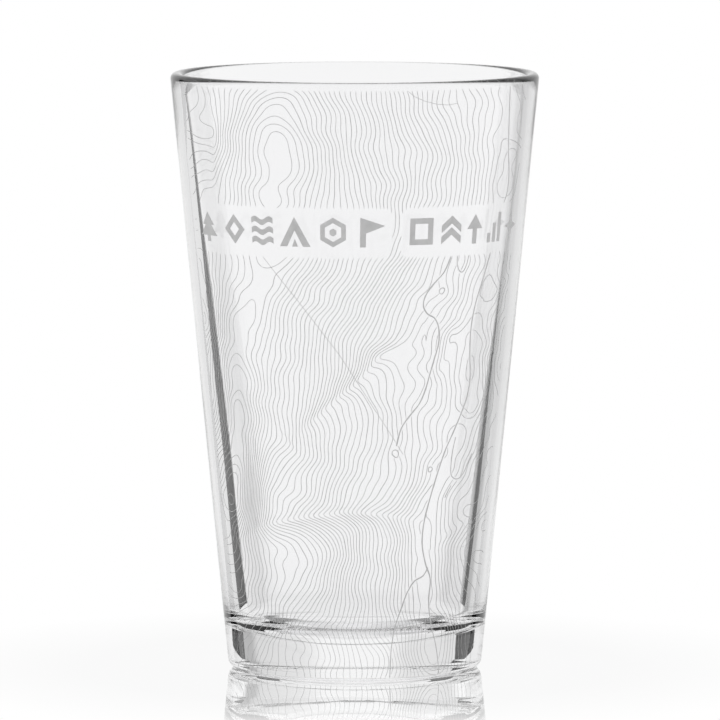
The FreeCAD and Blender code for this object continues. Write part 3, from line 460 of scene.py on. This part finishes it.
def in_band(p):
    t = (p[0] + 180.0) % 360.0 - 180.0
    if abs(t) > HALF:
        return True
    for a, b in BANDS:
        c = (a + b) / 2
        x = abs(t - c) * math.radians(1) * 41.0
        hx = (b - a) / 2 * math.radians(1) * 41.0
        z = abs(p[1] - 0.5 * (GAP_LO + GAP_HI))
        hz = 0.5 * (GAP_HI - GAP_LO)
        if x < hx and z < hz:
            dx, dz = x - (hx - 2.0), z - (hz - 2.0)
            if not (dx > 0 and dz > 0 and dx * dx + dz * dz > 4.0):
                return True
    return False


def beside(lines, gap):
    cells = {}
    for pts in lines:
        for p in resample(pts, 0.12):
            u = p[0] % 360.0
            cells.setdefault((int(u), int(p[1])), []).append((u, p[1]))

    def test(p):
        u = p[0] % 360.0
        k = math.radians(1) * wall(p[1])
        for i in (-1, 0, 1):
            for j in (-1, 0, 1):
                for q in cells.get(((int(u) + i) % 360, int(p[1]) + j), ()):
                    du = abs(u - q[0])
                    du = min(du, 360.0 - du) * k
                    if du * du + (p[1] - q[1]) ** 2 < gap * gap:
                        return True
        return False
    return test


streams = cut_lines([curve(s) for s in STREAMS], in_band, 0.2)
near_stream = beside(streams, 0.5 * (W_STREAM + W_SHORE) + 0.02)
shores = cut_lines([curve(s, 0.3) for s in SHORES], lambda p: in_band(p) or near_stream(p), 0.1, 0.8)
near_s = [beside(streams, 0.5 * (W_STREAM + w) + 0.02) for w in (W_FINE, W_INDEX, W_SURVEY)]
near_h = [beside(shores, 0.5 * (W_SHORE + w) + 0.02) for w in (W_FINE, W_INDEX, W_SURVEY)]
fine, index = [], []
for n in range(int(math.floor(FIELD.min())), int(math.ceil(FIELD.max())) + 1):
    for pts in trace(n + 0.5):
        if length(pts) > 4.0:
            (index if n % 5 == 0 else fine).append(smooth(pts, 3))
fine = cut_lines(fine, lambda p: in_band(p) or near_s[0](p) or near_h[0](p))
index = cut_lines(index, lambda p: in_band(p) or near_s[1](p) or near_h[1](p))
survey = cut_lines([resample(s, 0.5) for s in SURVEY], lambda p: in_band(p) or near_s[2](p) or near_h[2](p), 0.1, 0.5)


def ribbons(name, lines, width, step, ragged=0.10):
    """Raised enamel lines as closed strips: flat underneath just inside the glass, shoulders, and a low crown.
    The width wanders a little, as ink does."""
    V, F = [], []
    for pts in lines:
        L = length(pts)
        closed = L > 1.5 and math.hypot(*(a - b for a, b in zip(flat(pts[0]), flat(pts[-1])))) < 0.05
        q = np.array(resample(pts, step), float)
        if closed:
            q = q[:-1]
        n = len(q)
        if n < 3:
            continue
        r = np.array([skin(z)[0] for z in q[:, 1]])
        u = np.radians(q[:, 0]) * r
        if closed:
            du = np.radians(np.roll(q[:, 0], -1) - np.roll(q[:, 0], 1))
            du = (du + math.pi) % (2 * math.pi) - math.pi
            du = du * r
            dz = np.roll(q[:, 1], -1) - np.roll(q[:, 1], 1)
        else:
            du = np.radians(np.gradient(q[:, 0])) * r
            dz = np.gradient(q[:, 1])
        m = np.hypot(du, dz) + 1e-12
        nu, nz = -dz / m, du / m
        s = np.arange(n) * step
        ph = pts[0][0] * 1.7 + pts[0][1] * 0.9
        w = 0.5 * width * (1 + ragged * (0.5 * np.sin(s * 0.9 + ph) + 0.3 * np.sin(s * 2.3 + 2 * ph) + 0.2 * np.sin(s * 5.1 + 3 * ph)))
        w = w * np.clip(0.62 + 0.38 * (q[:, 1] - 10.0) / 10.0, 0.62, 1.0)      # the print thins out over the base
        if not closed:
            taper = np.clip(np.minimum(s, s[-1] - s) / (0.5 * width + 1e-9), 0, 1)
            w = w * (0.45 + 0.55 * np.sqrt(taper))
        base = len(V)
        for i in range(n):
            t, z = q[i]
            for off, lift in ((-1.0, -SUNK), (1.0, -SUNK), (0.92, 0.75 * THICK), (0.0, THICK), (-0.92, 0.75 * THICK)):
                zz = z + off * w[i] * nz[i]
                V.append(at(t + math.degrees(off * w[i] * nu[i] / r[i]), max(0.35, zz), lift))
        for i in range(n if closed else n - 1):
            a, b = base + 5 * i, base + 5 * ((i + 1) % n)
            for k in range(5):
                k2 = (k + 1) % 5
                F.append((a + k, b + k, b + k2, a + k2))
        if not closed:
            F.append(tuple(base + k for k in (4, 3, 2, 1, 0)))
            F.append(tuple(base + 5 * (n - 1) + k for k in range(5)))
    return mesh_object(name, V, F, smooth=False)


# ------------------------------ title marks ---------------------------------
TOP = TITLE_HI - TITLE_LO
MID = TOP / 2


def wave_bar(y, half, wd):
    n = 28
    up = [(-half + 2 * half * k / n, y + wd / 2 + 0.42 * math.sin(2 * math.pi * 1.5 * k / n)) for k in range(n + 1)]
    return up + [(x, v - wd) for x, v in reversed(up)]


def ngon(cx, cy, r, n, turn=0.0, sx=1.0):
    return [(cx + sx * r * math.cos(turn + 2 * math.pi * k / n), cy + r * math.sin(turn + 2 * math.pi * k / n)) for k in range(n)]


MARKS = [
    (-58.1, [([(0, TOP), (2.5, 4.0), (1.3, 4.0), (3.5, 1.4), (0.7, 1.4), (0.7, 0), (-0.7, 0), (-0.7, 1.4), (-3.5, 1.4), (-1.3, 4.0), (-2.5, 4.0)], [])]),
    (-44.1, [(ngon(0, MID, MID, 4, 0, 0.92), [ngon(0, MID, MID - 1.9, 4, 0, 0.92)])]),
    (-32.3, [(wave_bar(1.15, 3.0, 1.35), []), (wave_bar(MID, 3.0, 1.35), []), (wave_bar(TOP - 1.15, 3.0, 1.35), [])]),
    (-20.3, [([(-3.9, 0), (0, TOP), (3.9, 0), (2.0, 0), (0, 3.9), (-2.0, 0)], []), ([(-0.75, 0), (0, 1.9), (0.75, 0)], [])]),
    (-7.2, [(ngon(0, MID, MID, 6, math.pi / 6), [ngon(0, MID, MID - 1.3, 6, math.pi / 6)]), (ngon(0, MID, 0.95, 6, math.pi / 6), [])]),
    (5.8, [([(-2.9, 0), (-2.9, TOP), (3.1, 5.1), (-1.5, 3.3), (-1.5, 0)], [])]),
    (22.7, [([(-3.0, 0.35), (3.0, 0.35), (3.0, TOP - 0.35), (-3.0, TOP - 0.35)], [[(-1.65, 1.7), (1.65, 1.7), (1.65, TOP - 1.7), (-1.65, TOP - 1.7)]])]),
    (34.0, [([(-2.8, 0.3), (-2.8, 2.1), (0, 4.3), (2.8, 2.1), (2.8, 0.3), (0, 2.5)], []),
            ([(-2.8, 3.0), (-2.8, 4.8), (0, TOP), (2.8, 4.8), (2.8, 3.0), (0, 5.2)], [])]),
    (44.0, [([(0, TOP), (2.5, 3.6), (0.7, 3.6), (0.7, 0), (-0.7, 0), (-0.7, 3.6), (-2.5, 3.6)], [])]),
    (54.0, [([(-2.6, 0), (-2.6, 2.3), (-1.4, 2.3), (-1.4, 0)], []), ([(-0.6, 0), (-0.6, 4.6), (0.6, 4.6), (0.6, 0)], []), ([(1.4, 0), (1.4, TOP), (2.6, TOP), (2.6, 0)], [])]),
    (64.7, [([(0, TOP), (0.85, MID + 0.85), (3.1, MID), (0.85, MID - 0.85), (0, 0), (-0.85, MID - 0.85), (-3.1, MID), (-0.85, MID + 0.85)], [])]),
]


def soften(poly, r=0.14, step=0.35):
    """Rounds each corner a little, as printed enamel does, and spaces points along the edges."""
    n = len(poly)
    out = []
    for i in range(n):
        a, b, c = poly[i - 1], poly[i], poly[(i + 1) % n]
        la, lc = math.dist(a, b), math.dist(b, c)
        ra, rc = min(r, 0.4 * la), min(r, 0.4 * lc)
        p0 = (b[0] + (a[0] - b[0]) * ra / la, b[1] + (a[1] - b[1]) * ra / la)
        p2 = (b[0] + (c[0] - b[0]) * rc / lc, b[1] + (c[1] - b[1]) * rc / lc)
        for k in range(4):
            u = k / 3
            out.append(((1 - u) ** 2 * p0[0] + 2 * u * (1 - u) * b[0] + u * u * p2[0], (1 - u) ** 2 * p0[1] + 2 * u * (1 - u) * b[1] + u * u * p2[1]))
        q = (b[0] + (c[0] - b[0]) * (lc - min(r, 0.4 * lc)) / lc, b[1] + (c[1] - b[1]) * (lc - min(r, 0.4 * lc)) / lc)
        d = math.dist(p2, q)
        m = int(d / step)
        for k in range(1, m):
            out.append((p2[0] + (q[0] - p2[0]) * k / m, p2[1] + (q[1] - p2[1]) * k / m))
    clean = []
    for p in out:
        if not clean or math.dist(p, clean[-1]) > 0.01:
            clean.append(p)
    if math.dist(clean[0], clean[-1]) < 0.01:
        clean.pop()
    return clean


def holds(poly, x, y):
    c = False
    n = len(poly)
    for i in range(n):
        x0, y0 = poly[i]
        x1, y1 = poly[i - 1]
        if (y0 > y) != (y1 > y) and x < (x1 - x0) * (y - y0) / (y1 - y0) + x0:
            c = not c
    return c


def marks_object(name):
    V, F = [], []
    for t, shapes in MARKS:
        for outer, hole_list in shapes:
            loops = [soften(outer)] + [soften(h) for h in hole_list]
            co, edges = [], []
            for lp in loops:
                b = len(co)
                co += [Vector(p) for p in lp]
                edges += [(b + i, b + (i + 1) % len(lp)) for i in range(len(lp))]
            xs = [p[0] for p in loops[0]]
            ys = [p[1] for p in loops[0]]
            g = 0.42
            rim = list(co)
            for iy in range(int((max(ys) - min(ys)) / g) + 1):
                for ix in range(int((max(xs) - min(xs)) / g) + 1):
                    x = min(xs) + (ix + 0.5 + 0.25 * (iy % 2)) * g
                    y = min(ys) + (iy + 0.5) * g
                    if holds(loops[0], x, y) and not any(holds(h, x, y) for h in loops[1:]):
                        if min((x - p[0]) ** 2 + (y - p[1]) ** 2 for p in rim) > 0.18 ** 2:
                            co.append(Vector((x, y)))
            vo, eo, fo, *_ = delaunay_2d_cdt(co, edges, [], 0, 1e-5)
            tri = []
            for f in fo:
                cx = sum(vo[i][0] for i in f) / len(f)
                cy = sum(vo[i][1] for i in f) / len(f)
                if holds(loops[0], cx, cy) and not any(holds(h, cx, cy) for h in loops[1:]):
                    tri.append(tuple(f))
            n = len(vo)
            count = {}
            for f in tri:
                for i in range(len(f)):
                    a, b = f[i], f[(i + 1) % len(f)]
                    count[(a, b)] = count.get((a, b), 0) + 1
            rimset = set()
            for a, b in count:
                if (b, a) not in count:
                    rimset.add(a)
                    rimset.add(b)
            base = len(V)
            for lift, edge_lift in ((THICK, 0.72 * THICK), (-SUNK, -SUNK)):
                for i, p in enumerate(vo):
                    z = TITLE_LO + p[1]
                    V.append(at(t + math.degrees(math.asin(max(-1, min(1, p[0] / wall(z))))), z, edge_lift if i in rimset else lift))
            for f in tri:
                F.append(tuple(base + i for i in f))
                F.append(tuple(base + n + i for i in reversed(f)))
            for a, b in count:
                if (b, a) not in count:
                    F.append((base + b, base + a, base + n + a, base + n + b))
    used = sorted({i for f in F for i in f})
    remap = {o: i for i, o in enumerate(used)}
    return mesh_object(name, [V[i] for i in used], [tuple(remap[i] for i in f) for f in F], smooth=False)


glass = build_glass()
pieces = [
    (ribbons("contour_print", fine, W_FINE, 0.55), "contour_lines", "enamel"),
    (ribbons("index_contour_print", index, W_INDEX, 0.55), "index_contours", "enamel"),
    (ribbons("stream_print", streams, W_STREAM, 0.35, 0.22), "stream_lines", "enamel_dark"),
    (ribbons("shore_print", shores, W_SHORE, 0.15, 0.16), "shore_lines", "enamel_dark"),
    (ribbons("survey_print", survey, W_SURVEY, 0.5), "survey_lines", "enamel"),
    (marks_object("title_mark_print"), "title_marks", "enamel_dark"),
]


# ------------------------------ materials -----------------------------------
def glass_material():
    m = bpy.data.materials.new("clear_glass")
    m.use_nodes = True
    nt = m.node_tree
    b = nt.nodes["Principled BSDF"]
    b.inputs["Base Color"].default_value = (0.986, 0.986, 0.990, 1)
    b.inputs["Transmission Weight"].default_value = 1.0
    b.inputs["Roughness"].default_value = 0.0
    b.inputs["IOR"].default_value = 1.52
    tc = nt.nodes.new("ShaderNodeTexCoord")
    n1 = nt.nodes.new("ShaderNodeTexNoise")
    n1.inputs["Scale"].default_value = 55.0
    n1.inputs["Detail"].default_value = 1.5
    bump = nt.nodes.new("ShaderNodeBump")
    bump.inputs["Strength"].default_value = 0.10
    bump.inputs["Distance"].default_value = 0.0001
    nt.links.new(tc.outputs["Object"], n1.inputs["Vector"])
    nt.links.new(n1.outputs["Fac"], bump.inputs["Height"])
    nt.links.new(bump.outputs["Normal"], b.inputs["Normal"])
    return m


def enamel_material(name, grey, spread, rough):
    """Fired grey enamel: faint mottle where the ink film is thinner, satin, with a fine grain."""
    m = bpy.data.materials.new(name)
    m.use_nodes = True
    nt = m.node_tree
    b = nt.nodes["Principled BSDF"]
    tc = nt.nodes.new("ShaderNodeTexCoord")
    big = nt.nodes.new("ShaderNodeTexNoise")
    big.inputs["Scale"].default_value = 420.0
    big.inputs["Detail"].default_value = 4.0
    big.inputs["Roughness"].default_value = 0.6
    ramp = nt.nodes.new("ShaderNodeValToRGB")
    ramp.color_ramp.elements[0].position = 0.30
    ramp.color_ramp.elements[1].position = 0.72
    ramp.color_ramp.elements[0].color = (grey - spread, grey - spread, grey - spread, 1)
    ramp.color_ramp.elements[1].color = (grey + spread, grey + spread, grey + spread, 1)
    fine_n = nt.nodes.new("ShaderNodeTexNoise")
    fine_n.inputs["Scale"].default_value = 3200.0
    fine_n.inputs["Detail"].default_value = 2.0
    bump = nt.nodes.new("ShaderNodeBump")
    bump.inputs["Strength"].default_value = 0.35
    bump.inputs["Distance"].default_value = 0.00002
    rr = nt.nodes.new("ShaderNodeMapRange")
    rr.inputs["To Min"].default_value = rough - 0.08
    rr.inputs["To Max"].default_value = rough + 0.10
    nt.links.new(tc.outputs["Object"], big.inputs["Vector"])
    nt.links.new(tc.outputs["Object"], fine_n.inputs["Vector"])
    nt.links.new(big.outputs["Fac"], ramp.inputs["Fac"])
    nt.links.new(ramp.outputs["Color"], b.inputs["Base Color"])
    nt.links.new(fine_n.outputs["Fac"], bump.inputs["Height"])
    nt.links.new(fine_n.outputs["Fac"], rr.inputs["Value"])
    nt.links.new(rr.outputs["Result"], b.inputs["Roughness"])
    nt.links.new(bump.outputs["Normal"], b.inputs["Normal"])
    b.inputs["Specular IOR Level"].default_value = 0.35
    return m


M_GLASS = glass_material()
M_LIGHT = enamel_material("enamel_grey", 0.56, 0.05, 0.50)
M_DARK = enamel_material("enamel_dark_grey", 0.64, 0.05, 0.50)

glass.data.materials.append(M_GLASS)
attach(glass, "root")
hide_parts("glass_body")
for ob, node, sl in pieces:
    ob.data.materials.append(M_DARK if sl == "enamel_dark" else M_LIGHT)
    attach(ob, "root")
    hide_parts(node)

# ------------------------------ camera --------------------------------------
sc = bpy.context.scene
cd = bpy.data.cameras.new("camera")
cam = bpy.data.objects.new("camera", cd)
sc.collection.objects.link(cam)
sc.camera = cam
D, HC, ZT, XT = 2.050, 0.268, 0.0745, 0.00126
cam.location = (0, -D, HC)
cam.rotation_mode = "QUATERNION"
cam.rotation_quaternion = Vector((XT, D, ZT - HC)).to_track_quat("-Z", "Y")
cd.sensor_width = 36
cd.lens = 4.136 * math.hypot(D, HC - ZT) * 1000 / 720 * 36
cd.clip_start, cd.clip_end = 0.01, 50
bpy.context.view_layer.update()

# ------------------------------ studio --------------------------------------
def emit_material(name, build):
    m = bpy.data.materials.new(name)
    m.use_nodes = True
    nt = m.node_tree
    nt.nodes.clear()
    o = nt.nodes.new("ShaderNodeOutputMaterial")
    e = nt.nodes.new("ShaderNodeEmission")
    nt.links.new(e.outputs[0], o.inputs[0])
    build(nt, e)
    return m


def grey(nt, e, v):
    e.inputs[0].default_value = (v, v, v, 1)
    e.inputs[1].default_value = 1.0


def card(name, rad, a0, a1, z0, z1, mat, n=40):
    """Part of an upright cylinder round the object, a0 to a1 degrees from straight behind it, + to the right. It stands still in the room, and only light sees it."""
    v, f, uv = [], [], []
    for i in range(n + 1):
        a = math.radians(a0 + (a1 - a0) * i / n)
        v += [(rad * math.sin(a), rad * math.cos(a), z0), (rad * math.sin(a), rad * math.cos(a), z1)]
    for i in range(n):
        f.append((2 * i, 2 * i + 2, 2 * i + 3, 2 * i + 1))
    me = bpy.data.meshes.new(name)
    me.from_pydata(v, [], f)
    lay = me.uv_layers.new(name="UVMap")
    for p in me.polygons:
        for li, vi in zip(p.loop_indices, p.vertices):
            lay.data[li].uv = ((vi // 2) / n, vi % 2)
    me.materials.append(mat)
    ob = bpy.data.objects.new(name, me)
    sc.collection.objects.link(ob)
    ob.visible_camera = False
    ob.visible_shadow = False
    return ob


def ramp_card(name, rad, a0, a1, z0, z1, stops):
    """A card whose brightness changes from side to side: stops are (degrees, brightness)."""
    def build(nt, e):
        tc = nt.nodes.new("ShaderNodeTexCoord")
        sx = nt.nodes.new("ShaderNodeSeparateXYZ")
        rp = nt.nodes.new("ShaderNodeValToRGB")
        nt.links.new(tc.outputs["UV"], sx.inputs[0])
        nt.links.new(sx.outputs[0], rp.inputs[0])
        nt.links.new(rp.outputs[0], e.inputs[0])
        els = rp.color_ramp.elements
        pts = [((a - a0) / (a1 - a0), b) for a, b in stops]
        els[0].position, els[1].position = pts[0][0], pts[-1][0]
        els[0].color = (pts[0][1],) * 3 + (1,)
        els[1].color = (pts[-1][1],) * 3 + (1,)
        for p, b in pts[1:-1]:
            el = els.new(p)
            el.color = (b, b, b, 1)
    return card(name, rad, a0, a1, z0, z1, emit_material(name, build), n=90)


def flag(name, rows, v, rad=1.57, n=24):
    """A flat grey flag bent round the object: rows are (height, first edge, last edge) in metres and degrees from straight behind."""
    pts, f = [], []
    for z, a0, a1 in rows:
        for i in range(n + 1):
            a = math.radians(a0 + (a1 - a0) * i / n)
            pts.append((rad * math.sin(a), rad * math.cos(a), z))
    for r in range(len(rows) - 1):
        for i in range(n):
            k = r * (n + 1) + i
            f.append((k, k + 1, k + n + 2, k + n + 1))
    me = bpy.data.meshes.new(name)
    me.from_pydata(pts, [], f)
    me.materials.append(emit_material(name, lambda nt, e: grey(nt, e, v)))
    ob = bpy.data.objects.new(name, me)
    sc.collection.objects.link(ob)
    ob.visible_camera = False
    ob.visible_shadow = False
    return ob


# straight behind is the lit backdrop, wide soft panels stand at the sides and in front, and narrow black flags cut their edges
BACK = [(-180, 0.84), (-125, 0.84), (-62, 0.95), (-45, 0.97), (-37.5, 0.74), (-16, 0.79), (-9, 0.94),
        (9, 0.94), (16, 0.79), (37, 0.68), (41, 0.42), (48, 0.42), (52, 0.95), (62, 0.95), (125, 0.84), (180, 0.84)]
ramp_card("studio_ring", 1.6, -180, 180, -1.2, 2.6, BACK)
flag("left_flag", [(0.014, -39.5, -58), (0.062, -39.5, -58), (0.080, -38.5, -39.0), (0.110, -38.5, -39.0), (0.375, -38.5, -55.1), (0.42, -38.5, -56)], 0.03)
flag("right_flag", [(0.028, 48, 64), (0.074, 48, 64), (0.088, 46, 46.2), (0.220, 44.9, 45.1), (0.262, 44.9, 48.6), (0.300, 45.6, 52.4),
                    (0.350, 47.0, 57), (0.375, 48.2, 59), (0.42, 49, 60)], 0.03)

w = bpy.data.worlds.new("studio_world")
sc.world = w
w.use_nodes = True
nt = w.node_tree
bg = nt.nodes["Background"]
lp = nt.nodes.new("ShaderNodeLightPath")
mr = nt.nodes.new("ShaderNodeMapRange")
mr.inputs["To Min"].default_value = 0.85
mr.inputs["To Max"].default_value = 1.0
nt.links.new(lp.outputs["Is Camera Ray"], mr.inputs["Value"])
nt.links.new(mr.outputs["Result"], bg.inputs["Strength"])
bg.inputs["Color"].default_value = (1, 1, 1, 1)


def floor_material():
    """Glossy white table. The camera sees pure white with a mirror image that fades away from the foot; light that has
    been through the glass meets the gloss, which is darkened towards the foot as painted shade.
    """
    m = bpy.data.materials.new("white_table")
    m.use_nodes = True
    nt = m.node_tree
    nt.nodes.clear()
    N = nt.nodes.new
    o = N("ShaderNodeOutputMaterial")
    lp = N("ShaderNodeLightPath")
    geo = N("ShaderNodeNewGeometry")
    ln = N("ShaderNodeVectorMath")
    ln.operation = "LENGTH"
    nt.links.new(geo.outputs["Position"], ln.inputs[0])
    e_cam = N("ShaderNodeEmission")
    e_cam.inputs[0].default_value = (1, 1, 1, 1)
    gl = N("ShaderNodeBsdfGlossy")
    gl.inputs["Roughness"].default_value = 0.0
    gl.inputs["Color"].default_value = (1, 1, 1, 1)
    fade = N("ShaderNodeMapRange")
    fade.inputs["From Min"].default_value = 0.066
    fade.inputs["From Max"].default_value = 0.116
    fade.inputs["To Min"].default_value = 0.84
    fade.inputs["To Max"].default_value = 0.0
    nt.links.new(ln.outputs["Value"], fade.inputs["Value"])
    mx = N("ShaderNodeMixShader")
    nt.links.new(fade.outputs["Result"], mx.inputs[0])
    nt.links.new(e_cam.outputs[0], mx.inputs[1])
    nt.links.new(gl.outputs[0], mx.inputs[2])
    # painted shade: the mirror seen by light rays is dimmed to 0.90 close to the foot of the glass and reaches full
    # white by 0.20 m out
    near = N("ShaderNodeMapRange")
    near.inputs["From Max"].default_value = 0.40
    nt.links.new(ln.outputs["Value"], near.inputs["Value"])
    rp = N("ShaderNodeValToRGB")
    stops = [(0.05, 0.90), (0.12, 0.95), (0.20, 1.0), (0.26, 1.0), (0.33, 1.0)]
    els = rp.color_ramp.elements
    els[0].position, els[1].position = stops[0][0] / 0.40, stops[-1][0] / 0.40
    els[0].color = (stops[0][1],) * 3 + (1,)
    els[1].color = (stops[-1][1],) * 3 + (1,)
    for r_stop, v_stop in stops[1:-1]:
        el = els.new(r_stop / 0.40)
        el.color = (v_stop,) * 3 + (1,)
    nt.links.new(near.outputs["Result"], rp.inputs[0])
    foot_shaded_gloss = N("ShaderNodeBsdfGlossy")
    foot_shaded_gloss.inputs["Roughness"].default_value = 0.0
    nt.links.new(rp.outputs[0], foot_shaded_gloss.inputs["Color"])
    pick = N("ShaderNodeMixShader")
    nt.links.new(lp.outputs["Is Camera Ray"], pick.inputs[0])
    nt.links.new(foot_shaded_gloss.outputs[0], pick.inputs[1])
    nt.links.new(mx.outputs[0], pick.inputs[2])
    nt.links.new(pick.outputs[0], o.inputs[0])
    return m


TABLE_R = 1.50
v = [(0, 0, -0.0001)] + [(TABLE_R * math.cos(2 * math.pi * i / 96), TABLE_R * math.sin(2 * math.pi * i / 96), -0.0001) for i in range(96)]
me = bpy.data.meshes.new("table")
me.from_pydata(v, [], [(0, 1 + i, 1 + (i + 1) % 96) for i in range(96)])
me.materials.append(floor_material())
table_ob = bpy.data.objects.new("table", me)
sc.collection.objects.link(table_ob)

sc.view_settings.view_transform = "Standard"
sc.cycles.max_bounces = 24
sc.cycles.transmission_bounces = 24
sc.cycles.glossy_bounces = 12
sc.cycles.diffuse_bounces = 4
sc.cycles.transparent_max_bounces = 24
sc.cycles.caustics_reflective = True
sc.cycles.caustics_refractive = True
sc.cycles.use_denoising = True
